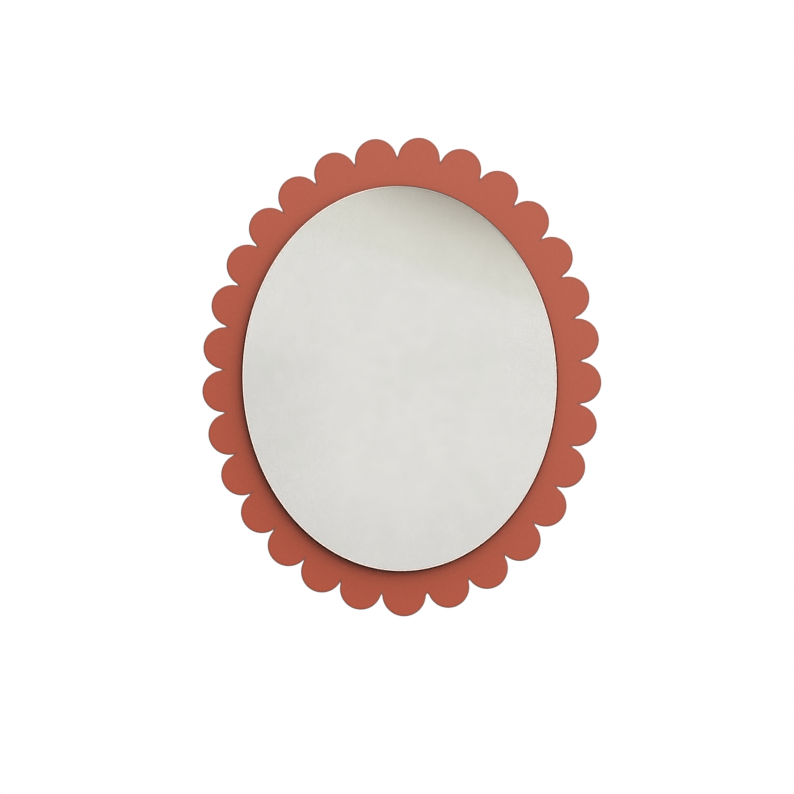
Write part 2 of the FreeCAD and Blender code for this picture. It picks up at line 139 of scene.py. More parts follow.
def srgb(red: int, green: int, blue: int) -> Colour:
    """Linear colour of a display colour.

    Args:
        red, green, blue: Display values from 0 to 255.

    Returns:
        The colour in linear light, with full alpha.
    """
    linear = []
    for value in (red, green, blue):
        share = value / DISPLAY_WHITE
        lifted = ((share + SRGB_LIFT) / (1 + SRGB_LIFT)) ** SRGB_POWER
        linear.append(share / SRGB_SLOPE if share <= SRGB_KNEE else lifted)
    return (linear[0], linear[1], linear[2], 1.0)


class Sock:
    """One shader value; arithmetic on it adds Math nodes to its tree."""

    def __init__(self, tree: "ShaderTree", socket: bpy.types.NodeSocket) -> None:
        """Wrap one output socket of a tree."""
        self.tree = tree
        self.socket = socket

    def math(self, operation: str, *operands: Number) -> "Sock":
        """Add one Math node.

        Args:
            operation: Blender's name of the operation.
            operands: Values or numbers, in the node's order.

        Returns:
            The node's result.
        """
        return self.tree.sock("ShaderNodeMath", {"operation": operation}, dict(enumerate(operands)))

    def __add__(self, other: Number) -> "Sock":
        """Sum."""
        return self.math("ADD", self, other)

    def __radd__(self, other: Number) -> "Sock":
        """Sum, from the right."""
        return self.math("ADD", other, self)

    def __sub__(self, other: Number) -> "Sock":
        """Difference."""
        return self.math("SUBTRACT", self, other)

    def __rsub__(self, other: Number) -> "Sock":
        """Difference, from the right."""
        return self.math("SUBTRACT", other, self)

    def __mul__(self, other: Number) -> "Sock":
        """Product."""
        return self.math("MULTIPLY", self, other)

    def __rmul__(self, other: Number) -> "Sock":
        """Product, from the right."""
        return self.math("MULTIPLY", other, self)

    def __truediv__(self, other: Number) -> "Sock":
        """Quotient."""
        return self.math("DIVIDE", self, other)

    def __neg__(self) -> "Sock":
        """Negative."""
        return self.math("MULTIPLY", self, -1.0)

    def root(self) -> "Sock":
        """Square root."""
        return self.math("SQRT", self)

    def at_least(self, low: float) -> "Sock":
        """The value, or a lower limit where it is less."""
        return self.math("MAXIMUM", self, low)

    def at_most(self, high: float) -> "Sock":
        """The value, or an upper limit where it is more."""
        return self.math("MINIMUM", self, high)

    def ease(self, ramp: Ramp) -> "Sock":
        """Smooth step along a ramp, held at 0 and 1 outside it."""
        bounds = {"Value": self, "From Min": ramp.low, "From Max": ramp.high}
        return self.tree.sock("ShaderNodeMapRange", {"interpolation_type": "SMOOTHSTEP"}, bounds)


class ShaderTree:
    """Node tree of one material or world, with one way to add any node."""

    MIX_FACTOR, MIX_A, MIX_B, MIX_RESULT = 0, 6, 7, 2

    def __init__(self, tree: bpy.types.NodeTree) -> None:
        """Start from an empty tree."""
        self.tree = tree
        tree.nodes.clear()

    def node(
        self, kind: str, settings: Optional[dict] = None, inputs: Optional[dict] = None
    ) -> bpy.types.Node:
        """Add one node.

        Args:
            kind: Blender's type of the node.
            settings: Attributes, set before the inputs.
            inputs: Values or links by the socket's name or place.

        Returns:
            The node.
        """
        made = self.tree.nodes.new(kind)
        for name, value in (settings or {}).items():
            setattr(made, name, value)
        for key, value in (inputs or {}).items():
            if isinstance(value, Sock):
                self.tree.links.new(value.socket, made.inputs[key])
            else:
                made.inputs[key].default_value = value
        return made

    def sock(
        self,
        kind: str,
        settings: Optional[dict] = None,
        inputs: Optional[dict] = None,
        output: Union[int, str] = 0,
    ) -> Sock:
        """Add one node and take one of its outputs.

        Args:
            kind: Blender's type of the node.
            settings: Attributes, set before the inputs.
            inputs: Values or links by the socket's name or place.
            output: Name or place of the output.

        Returns:
            The output.
        """
        return Sock(self, self.node(kind, settings, inputs).outputs[output])

    def place(self) -> Sock:
        """Point on the surface, in the piece's own coordinates."""
        return self.sock("ShaderNodeTexCoord", output="Object")

    def axes(self, vector: Sock) -> tuple[Sock, Sock, Sock]:
        """The three parts of a vector."""
        split = self.node("ShaderNodeSeparateXYZ", inputs={0: vector})
        return (Sock(self, split.outputs[0]), Sock(self, split.outputs[1]), Sock(self, split.outputs[2]))

    def stretched(self, vector: Sock, scale: tuple[float, float, float]) -> Sock:
        """A vector with each of its parts scaled."""
        return self.sock("ShaderNodeMapping", inputs={"Vector": vector, "Scale": scale})

    def noise(self, at: Sock, grain: Grain) -> Sock:
        """Smooth noise from 0 to 1.

        Args:
            at: Where the noise is read.
            grain: Its scale and octaves.

        Returns:
            The noise.
        """
        inputs = {"Vector": at, "Scale": grain.scale, "Detail": grain.detail, "Roughness": grain.roughness}
        return self.sock("ShaderNodeTexNoise", inputs=inputs)

    def cells(self, at: Sock, scale: float) -> Sock:
        """Even tone of each cell of a crystal-like pattern, from 0 to 1."""
        colour = self.sock("ShaderNodeTexVoronoi", inputs={"Vector": at, "Scale": scale}, output="Color")
        return self.axes(colour)[0]

    def mix(self, factor: Number, first: Union[Sock, Colour], second: Union[Sock, Colour]) -> Sock:
        """Blend of two colours.

        Args:
            factor: 0 for the first colour, 1 for the second.
            first: Colour at 0.
            second: Colour at 1.

        Returns:
            The blended colour.
        """
        inputs = {self.MIX_FACTOR: factor, self.MIX_A: first, self.MIX_B: second}
        return self.sock("ShaderNodeMix", {"data_type": "RGBA"}, inputs, self.MIX_RESULT)

    def bump(self, height: Sock, depth: float) -> Sock:
        """Normal that a relief gives.

        Args:
            height: Relief from 0 to 1.
            depth: Height of the relief in metres.

        Returns:
            The normal.
        """
        inputs = {"Height": height, "Distance": depth, "Strength": 1.0}
        return self.sock("ShaderNodeBump", inputs=inputs)

    def surface(self, inputs: dict) -> None:
        """Close a material's tree with one principled shader."""
        shader = self.sock("ShaderNodeBsdfPrincipled", inputs=inputs)
        self.node("ShaderNodeOutputMaterial", inputs={"Surface": shader})


class Finish:
    """Base of the finishes: each paints a node tree of its own."""

    name: str

    def paint(self, tree: ShaderTree) -> None:
        """Add the finish's nodes to an empty tree."""
        raise NotImplementedError

    def material(self) -> bpy.types.Material:
        """Make a material with this finish.

        Returns:
            The material.
        """
        made = bpy.data.materials.new(self.name)
        made.use_nodes = True
        self.paint(ShaderTree(made.node_tree))
        return made


@dataclass(frozen=True)
class PanelLacquer(Finish):
    """Low-sheen terracotta lacquer on fibreboard, with painted light: lighter towards the upper right,
    darker towards the lower left.

    The back is bare but for overspray along the rim.
    """

    front_y: float
    back_y: float
    edge_round: float
    half_width: float
    half_height: float
    rim_mark: str
    name: str = "terracotta_lacquer"
    # Painted light: the lacquer's lighter tone towards the upper right.
    painted_lit_tone: Colour = (0.3525, 0.083, 0.053, 1.0)
    # Painted shade: the lacquer's darker tone towards the lower left.
    deep_tone: Colour = (0.329, 0.065, 0.0366, 1.0)
    # Painted shade: darker tone on the rounded front edge of the lobes.
    painted_shade_edge_tone: Colour = (0.15, 0.068, 0.054, 1.0)
    board_tone: Colour = srgb(170, 137, 101)
    board_deep_tone: Colour = srgb(150, 118, 85)
    # Painted light: the direction in which the lacquer turns lighter.
    painted_light_rise: float = math.radians(55)
    painted_light_and_pigment: Ramp = Ramp(-0.36, 0.36)
    pigment: Grain = Grain(330.0, 3.0, 0.6)
    pigment_share: float = 0.35
    painted_shade_edge_share: float = 0.08
    peel: Grain = Grain(520.0, 1.0)
    peel_depth: float = 0.00004
    fibre: Grain = Grain(380.0, 5.0, 0.7)
    fibre_tones: Ramp = Ramp(0.3, 0.7)
    speckle: Grain = Grain(420.0)
    spray_reach: Ramp = Ramp(0.9, 1.16)
    spray_gain: float = 1.6
    spray_loss: float = 0.75
    spray_cover: Ramp = Ramp(0.0, 0.35)
    bare_rim: float = 0.0005
    gloss: float = 0.2
    roughness: float = 0.25
    pigment_roughness: float = 0.04
    bare_roughness: float = 0.5

    def paint(self, tree: ShaderTree) -> None:
        """Lacquer on the front and walls, fibreboard on the back.

        Args:
            tree: Empty tree to fill.
        """
        at = tree.place()
        across, depth, up = tree.axes(at)
        peel = tree.noise(at, self.peel)
        pigment = tree.noise(at, self.pigment)
        # Painted light and shade: lighter towards the upper right, darker towards the lower left, with
        # random pigment variation on top.
        lit = across * math.cos(self.painted_light_rise) + up * math.sin(self.painted_light_rise)
        painted_light_and_pigment = lit.ease(self.painted_light_and_pigment) + (pigment - NOISE_MEAN) * self.pigment_share
        lacquer = tree.mix(painted_light_and_pigment, self.deep_tone, self.painted_lit_tone)
        # Painted shade: the rounded front edge is painted darker, fading out before the side wall.
        edge = tree.sock("ShaderNodeAttribute", {"attribute_name": self.rim_mark}, output="Fac")
        wall = depth.ease(Ramp(self.front_y, self.front_y + self.edge_round * self.painted_shade_edge_share))
        lacquer = tree.mix(edge * (1.0 - wall), lacquer, self.painted_shade_edge_tone)

        fibre = tree.noise(at, self.fibre)
        board = tree.mix(fibre.ease(self.fibre_tones), self.board_deep_tone, self.board_tone)
        out = across / self.half_width
        rise = up / self.half_height
        reach = (out * out + rise * rise).root()
        speckle = tree.noise(at, self.speckle)
        spray = reach.ease(self.spray_reach) * self.spray_gain + speckle - self.spray_loss
        board = tree.mix(spray.ease(self.spray_cover), board, lacquer)

        bare = depth.ease(Ramp(self.back_y - self.bare_rim, self.back_y))
        relief = peel + bare * (fibre - peel)
        tree.surface(
            {
                "Base Color": tree.mix(bare, lacquer, board),
                "Roughness": self.roughness + pigment * self.pigment_roughness + bare * self.bare_roughness,
                "Specular IOR Level": self.gloss,
                "Normal": tree.bump(relief, self.peel_depth),
            }
        )


@dataclass(frozen=True)
class ClearGlass(Finish):
    """Clear float glass with a faint green cast and wiped smudges."""

    name: str = "clear_glass"
    tint: Colour = (0.985, 0.995, 0.988, 1.0)
    clean_tint: Colour = (0.995, 0.998, 0.995, 1.0)
    refraction: float = 1.52
    smudge: Grain = Grain(14.0, 4.0, 0.6)
    smudge_cover: Ramp = Ramp(0.5, 0.75)
    smudge_roughness: float = 0.012

    def paint(self, tree: ShaderTree) -> None:
        """Clear body whose gloss is broken a little by smudges.

        Args:
            tree: Empty tree to fill.
        """
        smudge = tree.noise(tree.place(), self.smudge).ease(self.smudge_cover)
        tree.surface(
            {
                "Base Color": tree.mix(smudge, self.clean_tint, self.tint),
                "Roughness": smudge * self.smudge_roughness,
                "IOR": self.refraction,
                "Transmission Weight": 1.0,
            }
        )


@dataclass(frozen=True)
class SilverCoat(Finish):
    """Silver behind the glass, slightly clouded, with grey backing paint on its wall side."""

    middle_y: float
    name: str = "silver_coat"
    tone: Colour = (0.81, 0.805, 0.8, 1.0)
    cloud_tone: Colour = (0.79, 0.785, 0.78, 1.0)
    backing_tone: Colour = srgb(118, 124, 122)
    backing_dark: Colour = srgb(96, 102, 101)
    cloud: Grain = Grain(17.0, 4.0, 0.6)
    cloud_edge: Ramp = Ramp(0.44, 0.56)
    cloud_share: float = 0.6
    fleck: Grain = Grain(41.0, 3.0, 0.6)
    fleck_edge: Ramp = Ramp(0.46, 0.54)
    fleck_share: float = 0.4
    streak: Grain = Grain(260.0, 3.0)
    step: float = 0.00002
    cloud_roughness: float = 0.02
    backing_roughness: float = 0.6

    def paint(self, tree: ShaderTree) -> None:
        """Mirror on the room side and paint on the wall side.

        Args:
            tree: Empty tree to fill.
        """
        at = tree.place()
        depth = tree.axes(at)[1]
        painted = depth.ease(Ramp(self.middle_y - self.step, self.middle_y + self.step))
        broad = tree.noise(at, self.cloud).ease(self.cloud_edge)
        small = tree.noise(at, self.fleck).ease(self.fleck_edge)
        cloud = broad * self.cloud_share + small * self.fleck_share
        silver = tree.mix(cloud, self.tone, self.cloud_tone)
        streak = tree.noise(at, self.streak)
        backing = tree.mix(streak, self.backing_dark, self.backing_tone)
        tree.surface(
            {
                "Base Color": tree.mix(painted, silver, backing),
                "Metallic": 1.0 - painted,
                "Roughness": cloud * self.cloud_roughness + painted * self.backing_roughness,
            }
        )


@dataclass(frozen=True)
class MattHighlightMargin(Finish):
    """Narrow matt margin of the glass, painted pale as a highlight along the glass's edge, with painted
    shade along its upper right.
    """

    half_width: float
    half_height: float
    name: str = "matt_highlight_margin"
    # Painted highlight: the pale tone of the margin.
    tone: Colour = (0.9, 0.72, 0.665, 1.0)
    worn_tone: Colour = (0.84, 0.66, 0.6, 1.0)
    # Painted shade: darker tone of the margin along the upper right.
    dull_tone: Colour = (0.42, 0.36, 0.325, 1.0)
    wear: Grain = Grain(120.0, 3.0)
    wear_cover: Ramp = Ramp(0.45, 0.7)
    painted_shade_above: Ramp = Ramp(0.4, 0.75)
    dull_right_of: Ramp = Ramp(-0.35, 0.1)
    roughness: float = 0.5
    wear_roughness: float = 0.2

    def paint(self, tree: ShaderTree) -> None:
        """Pale matt band, a painted highlight, with slightly darker stretches and painted shade along its
        upper right.

        Args:
            tree: Empty tree to fill.
        """
        at = tree.place()
        across, _, up = tree.axes(at)
        wear = tree.noise(at, self.wear).ease(self.wear_cover)
        # Painted shade: the margin is darker along its upper right.
        high = (up / self.half_height).ease(self.painted_shade_above)
        right = (across / self.half_width).ease(self.dull_right_of)
        pale = tree.mix(wear, self.tone, self.worn_tone)
        tree.surface(
            {
                "Base Color": tree.mix(high * right, pale, self.dull_tone),
                "Roughness": self.roughness + wear * self.wear_roughness,
            }
        )


@dataclass(frozen=True)
class EdgeSealerAndShade(Finish):
    """Dark sealer round the edge of the glass, partly painted shade for the shadow line along it, and
    lighter along its top as painted light.
    """

    half_width: float
    half_height: float
    name: str = "edge_sealer_and_shade"
    # Painted shade in part: the near-black coat stands in for the shadow line along the glass's edge.
    tone: Colour = (0.024, 0.005, 0.003, 1.0)
    thin_tone: Colour = (0.04, 0.01, 0.006, 1.0)
    # Painted light: lighter tone along the top.
    top_tone: Colour = (0.13, 0.045, 0.03, 1.0)
    # Painted light: the tone along the top towards the right.
    top_right_tone: Colour = (0.075, 0.042, 0.033, 1.0)
    painted_light_above: Ramp = Ramp(0.25, 0.65)
    right_of: Ramp = Ramp(-0.2, 0.15)
    brush: Grain = Grain(160.0, 3.0)
    brush_cover: Ramp = Ramp(0.4, 0.7)
    brush_depth: float = 0.00005
    gloss: float = 0.06
    roughness: float = 0.4
    brush_roughness: float = 0.15

    def paint(self, tree: ShaderTree) -> None:
        """Dark coat, thinner here and there, with painted light: lighter along the top.

        Args:
            tree: Empty tree to fill.
        """
        at = tree.place()
        across, _, up = tree.axes(at)
        brush = tree.noise(at, self.brush)
        coat = tree.mix(brush.ease(self.brush_cover), self.tone, self.thin_tone)
        # Painted light: the coat is lighter along the top, less so towards the right.
        top = (up / self.half_height).ease(self.painted_light_above)
        right = (across / self.half_width).ease(self.right_of)
        painted_top_light = tree.mix(right, self.top_tone, self.top_right_tone)
        tree.surface(
            {
                "Base Color": tree.mix(top, coat, painted_top_light),
                "Roughness": self.roughness + brush * self.brush_roughness,
                "Specular IOR Level": self.gloss,
                "Normal": tree.bump(brush, self.brush_depth),
            }
        )


@dataclass(frozen=True)
class BareBoard(Finish):
    """Bare fibreboard: pale faces, and a darker machined rim."""

    half_width: float
    half_height: float
    name: str = "raw_board"
    tone: Colour = srgb(176, 142, 104)
    deep_tone: Colour = srgb(138, 104, 72)
    rim_tone: Colour = srgb(92, 64, 44)
    rim: Ramp = Ramp(0.985, 0.998)
    rim_share: float = 0.8
    fibre: Grain = Grain(240.0, 5.0, 0.7)
    fibre_tones: Ramp = Ramp(0.3, 0.7)
    fibre_depth: float = 0.00012
    roughness: float = 0.78
    fibre_roughness: float = 0.2

    def paint(self, tree: ShaderTree) -> None:
        """Fibre grain, darker towards the cut rim.

        Args:
            tree: Empty tree to fill.
        """
        at = tree.place()
        across, _, up = tree.axes(at)
        fibre = tree.noise(at, self.fibre)
        board = tree.mix(fibre.ease(self.fibre_tones), self.deep_tone, self.tone)
        out = across / self.half_width
        rise = up / self.half_height
        rim = (out * out + rise * rise).root().ease(self.rim)
        tree.surface(
            {
                "Base Color": tree.mix(rim * self.rim_share, board, self.rim_tone),
                "Roughness": self.roughness + (fibre - NOISE_MEAN) * self.fibre_roughness,
                "Normal": tree.bump(fibre, self.fibre_depth),
            }
        )


@dataclass(frozen=True)
class SoftFiller(Finish):
    """Foam tape or cured mastic: pale, matt and finely pitted."""

    name: str
    tone: Colour
    pit_tone: Colour
    pits: Grain
    pit_depth: float
    pit_cover: Ramp = Ramp(0.3, 0.6)
    roughness: float = 0.7
    pit_roughness: float = 0.2

    def paint(self, tree: ShaderTree) -> None:
        """Pale body with darker pits.

        Args:
            tree: Empty tree to fill.
        """
        pits = tree.noise(tree.place(), self.pits)
        tree.surface(
            {
                "Base Color": tree.mix(pits.ease(self.pit_cover), self.pit_tone, self.tone),
                "Roughness": self.roughness + pits * self.pit_roughness,
                "Normal": tree.bump(pits, self.pit_depth),
            }
        )


@dataclass(frozen=True)
class ZincPlate(Finish):
    """Zinc-plated steel: crystal spangle, fine drawing marks and dulled patches."""

    name: str
    tone: Colour = srgb(205, 206, 202)
    dull_tone: Colour = srgb(160, 162, 158)
    spangle_scale: float = 420.0
    spangle_share: float = 0.35
    patch: Grain = Grain(70.0, 4.0, 0.6)
    patch_cover: Ramp = Ramp(0.35, 0.7)
    patch_share: float = 0.5
    marks: Grain = Grain(1.0)
    mark_stretch: tuple[float, float, float] = (2200.0, 2200.0, 140.0)
    mark_depth: float = 0.00001
    roughness: float = 0.26
    spangle_roughness: float = 0.08
    patch_roughness: float = 0.14

    def paint(self, tree: ShaderTree) -> None:
        """Metal whose tone and gloss vary by crystal and by patch.

        Args:
            tree: Empty tree to fill.
        """
        at = tree.place()
        spangle = tree.cells(at, self.spangle_scale)
        patch = tree.noise(at, self.patch).ease(self.patch_cover)
        marks = tree.noise(tree.stretched(at, self.mark_stretch), self.marks)
        dull = spangle * self.spangle_share + patch * self.patch_share
        roughness = self.roughness + spangle * self.spangle_roughness + patch * self.patch_roughness
        tree.surface(
            {
                "Base Color": tree.mix(dull, self.tone, self.dull_tone),
                "Metallic": 1.0,
                "Roughness": roughness,
                "Normal": tree.bump(marks, self.mark_depth),
            }
        )


@dataclass(frozen=True)
class BlackRubber(Finish):
    """Matt black rubber with a grey bloom and a fine moulded grain."""

    name: str = "bumper_rubber"
    tone: Colour = srgb(26, 26, 27)
    bloom_tone: Colour = srgb(62, 61, 60)
    grain: Grain = Grain(900.0)
    grain_depth: float = 0.00004
    bloom: Grain = Grain(130.0, 4.0, 0.6)
    bloom_cover: Ramp = Ramp(0.5, 0.8)
    bloom_share: float = 0.6
    roughness: float = 0.62
    bloom_roughness: float = 0.2

    def paint(self, tree: ShaderTree) -> None:
        """Dark body with patches of bloom.

        Args:
            tree: Empty tree to fill.
        """
        at = tree.place()
        grain = tree.noise(at, self.grain)
        bloom = tree.noise(at, self.bloom).ease(self.bloom_cover)
        tree.surface(
            {
                "Base Color": tree.mix(bloom * self.bloom_share, self.tone, self.bloom_tone),
                "Roughness": self.roughness + bloom * self.bloom_roughness,
                "Normal": tree.bump(grain, self.grain_depth),
            }
        )


@dataclass(frozen=True)
class PaleFloor(Finish):
    """Matt pale floor with a faint unevenness."""

    name: str = "pale_floor"
    tone: Colour = srgb(240, 239, 236)
    deep_tone: Colour = srgb(234, 233, 230)
    cloud: Grain = Grain(1.5, 3.0)
    roughness: float = 0.8

    def paint(self, tree: ShaderTree) -> None:
        """Two near tones in soft clouds."""
        cloud = tree.noise(tree.place(), self.cloud)
        tree.surface(
            {"Base Color": tree.mix(cloud, self.deep_tone, self.tone), "Roughness": self.roughness}
        )


def verts_of(items: Iterable[Any]) -> list[bmesh.types.BMVert]:
    """Vertices among some geometry."""
    return [item for item in items if isinstance(item, bmesh.types.BMVert)]


def edges_of(items: Iterable[Any]) -> list[bmesh.types.BMEdge]:
    """Edges among some geometry."""
    return [item for item in items if isinstance(item, bmesh.types.BMEdge)]


def edges_at_depth(bm: bmesh.types.BMesh, y: float) -> list[bmesh.types.BMEdge]:
    """Edges of a mesh that lie wholly at one depth."""
    return [edge for edge in bm.edges if all(abs(vert.co.y - y) < CLOSE for vert in edge.verts)]


def ease_edges(
    bm: bmesh.types.BMesh, edges: list[bmesh.types.BMEdge], amount: float, segments: int
) -> None:
    """Round edges, or chamfer them with one segment.

    Args:
        bm: Mesh to change.
        edges: Edges to ease.
        amount: Width of the eased strip on each side.
        segments: Strips across the rounding.
    """
    bmesh.ops.bevel(
        bm,
        geom=edges,
        affect="EDGES",
        offset=amount,
        offset_type="OFFSET",
        segments=segments,
        profile=0.5,
        material=-1,
        clamp_overlap=False,
        loop_slide=True,
    )


def pull_out(bm: bmesh.types.BMesh, faces: list[bmesh.types.BMFace], way: Vector) -> None:
    """Extrude faces along a vector."""
    made = bmesh.ops.extrude_face_region(bm, geom=faces)
    bmesh.ops.translate(bm, verts=verts_of(made["geom"]), vec=way)


def oval_blank(
    half_width: float, half_height: float, back_y: float, front_y: float, steps: int
) -> bmesh.types.BMesh:
    """Upright oval plate about the Y axis.

    Args:
        half_width: Half of the plate's width.
        half_height: Half of its height.
        back_y: Depth of its wall side.
        front_y: Depth of its room side.
        steps: Sides of the oval.

    Returns:
        The plate.
    """
    bm = bmesh.new()
    bmesh.ops.create_circle(bm, cap_ends=True, segments=steps, radius=1.0)
    bmesh.ops.scale(bm, verts=bm.verts, vec=Vector((half_width, half_height, 1.0)))
    stand = Matrix.Translation(TOWARDS_WALL * back_y) @ LIE_TO_STAND
    bmesh.ops.transform(bm, matrix=stand, verts=bm.verts)
    pull_out(bm, bm.faces[:], TOWARDS_WALL * (front_y - back_y))
    return bm


def add_piece(
    name: str,
    bm: bmesh.types.BMesh,
    finish: Finish,
    body: Body,
    stands_for: tuple[str, ...] = (),
) -> bpy.types.Object:
    """Turn a finished mesh into a piece of the object.

    Args:
        name: Name of the piece.
        bm: Its mesh, in place; freed here.
        finish: Its finish.
        body: Body that it rides on.
        stands_for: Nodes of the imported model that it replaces.

    Returns:
        The piece.
    """
    bmesh.ops.remove_doubles(bm, verts=bm.verts, dist=CLOSE)
    bmesh.ops.recalc_face_normals(bm, faces=bm.faces)
    mesh = bpy.data.meshes.new(name)
    bm.to_mesh(mesh)
    bm.free()
    mesh.materials.append(finish.material())
    mesh.shade_smooth()
    mesh.set_sharp_from_angle(angle=SHARP_ANGLE)
    piece = bpy.data.objects.new(name, mesh)
    bpy.context.scene.collection.objects.link(piece)
    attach(piece, body.value)
    if stands_for:
        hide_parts(*stands_for)
    LOG.info("%s: %d faces on %s", name, len(mesh.polygons), body.value)
    return piece


def dress_node(name: str, finish: Finish) -> None:
    """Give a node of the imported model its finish.

    Args:
        name: Name of the node.
        finish: Its finish.
    """
    materials = frame["nodes"][name].data.materials
    materials.clear()
    materials.append(finish.material())
    LOG.info("%s: packed node with finish %s", name, finish.name)


@dataclass
class ScallopedPanel:
    """Oval board whose rim carries a row of round lobes."""

    rim_width: float = 0.4478
    rim_height: float = 0.5472
    lobe_count: int = 29
    lobe_radius: float = 0.0263
    lobe_row_shift: float = 0.0055
    crowded_lobes: int = 5
    crowded_pull: float = 0.0033
    foot_lobe_radius: float = 0.0274
    foot_lobe_shift: float = 0.003
    notch_floor: float = 0.0012
    notch_flank: float = 0.0038
    edge_round: float = 0.0008
    back_ease: float = 0.0004
    support: float = 0.0018
    rim_mark: str = "rim"
    lobe_steps: int = 36
    round_steps: int = 5
    back_steps: int = 2
    rim_samples: int = 5760
    node: str = "scalloped_panel"

    def rim_point(self, angle: float) -> Vector:
        """Point of the oval that the lobes stand on, in the wall plane.

        Args:
            angle: Angle on the oval.

        Returns:
            The point.
        """
        across = math.cos(angle) * self.rim_width / 2
        up = math.sin(angle) * self.rim_height / 2
        return Vector((across, 0.0, up))

    def lobe_shifts(self) -> list[float]:
        """How far along the rim line each lobe stands past an even row that starts at the foot.

        Returns:
            One shift for each lobe, the foot lobe first.
        """
        shifts = [self.lobe_row_shift] * self.lobe_count
        for step in range(self.crowded_lobes):
            shifts[step - self.crowded_lobes] -= self.crowded_pull * (step + 1) / self.crowded_lobes
        shifts[0] = self.foot_lobe_shift
        return shifts

    def lobe_angles(self) -> list[float]:
        """Angles on the rim line's oval of the lobes' centres.

        Returns:
            One angle for each lobe, the foot lobe first.
        """
        foot = -QUARTER_TURN
        angles = [foot + FULL_TURN * n / self.rim_samples for n in range(2 * self.rim_samples)]
        points = [self.rim_point(angle) for angle in angles[: self.rim_samples + 1]]
        steps = [(b - a).length for a, b in zip(points, points[1:])]
        pitch = sum(steps) / self.lobe_count
        wanted = [number * pitch + shift for number, shift in enumerate(self.lobe_shifts())]
        found: list[float] = []
        travelled = 0.0
        for angle, step in zip(angles, steps * 2):
            if len(found) < len(wanted) and travelled + step >= wanted[len(found)]:
                share = (wanted[len(found)] - travelled) / step
                found.append(angle + share * FULL_TURN / self.rim_samples)
            travelled += step
        return found

    def notch_angle(self, centre: float, radius: float, way: int) -> float:
        """Angle on the oval where a lobe's edge leaves it.

        Args:
            centre: Angle of the lobe's centre.
            radius: The lobe's radius.
            way: 1 for the notch after the lobe, -1 for the one before it.

        Returns:
            The angle, found by halving.
        """
        middle = self.rim_point(centre)
        near, far = 0.0, 2 * radius / (self.rim_width / 2)
        while far - near > CLOSE:
            tried = (near + far) / 2
            if (self.rim_point(centre + way * tried) - middle).length < radius:
                near = tried
            else:
                far = tried
        return centre + way * near

    def draw_lobe(
        self, bm: bmesh.types.BMesh, angle: float, radius: float
    ) -> tuple[bmesh.types.BMVert, bmesh.types.BMVert]:
        """Spin the round edge of one lobe.

        Args:
            bm: Mesh that the edge is added to.
            angle: Angle of the lobe's centre on the oval.
            radius: The lobe's radius.

        Returns:
            The first and last vertex of the edge.
        """
        centre = self.rim_point(angle)
        ends = [self.rim_point(self.notch_angle(angle, radius, way)) for way in (-1, 1)]
        turns = [math.atan2(end.z - centre.z, end.x - centre.x) for end in ends]
        filled = self.notch_flank / radius
        start = turns[0] + filled
        first = bm.verts.new(centre + Vector((math.cos(start), 0.0, math.sin(start))) * radius)
        made = bmesh.ops.spin(
            bm,
            geom=[first],
            cent=centre,
            axis=TOWARDS_ROOM,
            dvec=Vector(),
            angle=(turns[1] - turns[0]) % FULL_TURN - 2 * filled,
            steps=self.lobe_steps,
        )
        return first, verts_of(made["geom_last"])[0]

    def notch_point(self, before: Vector, after: Vector) -> Vector:
        """Deepest point of the notch between the ends of two lobes' edges.

        Args:
            before: End of the lobe before the notch.
            after: Start of the lobe after it.

        Returns:
            The point, in line with the middle of the notch.
        """
        middle = (before + after) / 2
        angle = math.atan2(middle.z / self.rim_height, middle.x / self.rim_width)
        foot = self.rim_point(angle)
        return foot + (middle - foot).normalized() * self.notch_floor

    def build(self) -> bpy.types.Object:
        """Panel with its lobes, notches and rounded front edge.

        Returns:
            The panel.
        """
        low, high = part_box(self.node)
        front_y, back_y = round(low.y, DEPTH_DIGITS), high.y
        bm = bmesh.new()
        lobes = []
        for number, angle in enumerate(self.lobe_angles()):
            radius = self.lobe_radius if number else self.foot_lobe_radius
            lobes.append(self.draw_lobe(bm, angle, radius))
        for (_, last), (first, _) in zip(lobes, lobes[1:] + lobes[:1]):
            floor = bm.verts.new(self.notch_point(last.co, first.co))
            bm.edges.new((last, floor))
            bm.edges.new((floor, first))
        bmesh.ops.edgeloop_fill(bm, edges=bm.edges[:])
        bmesh.ops.translate(bm, verts=bm.verts, vec=TOWARDS_WALL * back_y)
        pull_out(bm, bm.faces[:], TOWARDS_WALL * (front_y - back_y))
        bmesh.ops.recalc_face_normals(bm, faces=bm.faces)
        ease_edges(bm, edges_at_depth(bm, front_y), self.edge_round, self.round_steps)
        ease_edges(bm, edges_at_depth(bm, back_y), self.back_ease, self.back_steps)
        *_, smaller_flat, larger_flat = sorted(bm.faces, key=lambda face: face.calc_area())
        flats = [smaller_flat, larger_flat]
        bmesh.ops.inset_region(
            bm, faces=flats, thickness=self.support, use_boundary=True, use_even_offset=True
        )
        mark = bm.verts.layers.float.new(self.rim_mark)
        flat_verts = {vert for face in flats for vert in face.verts}
        for vert in bm.verts:
            vert[mark] = 0.0 if vert in flat_verts else 1.0
        finish = PanelLacquer(
            front_y, back_y, self.edge_round, self.rim_width / 2, self.rim_height / 2, self.rim_mark
        )
        return add_piece("lacquered_panel", bm, finish, Body.MIRROR, (self.node,))


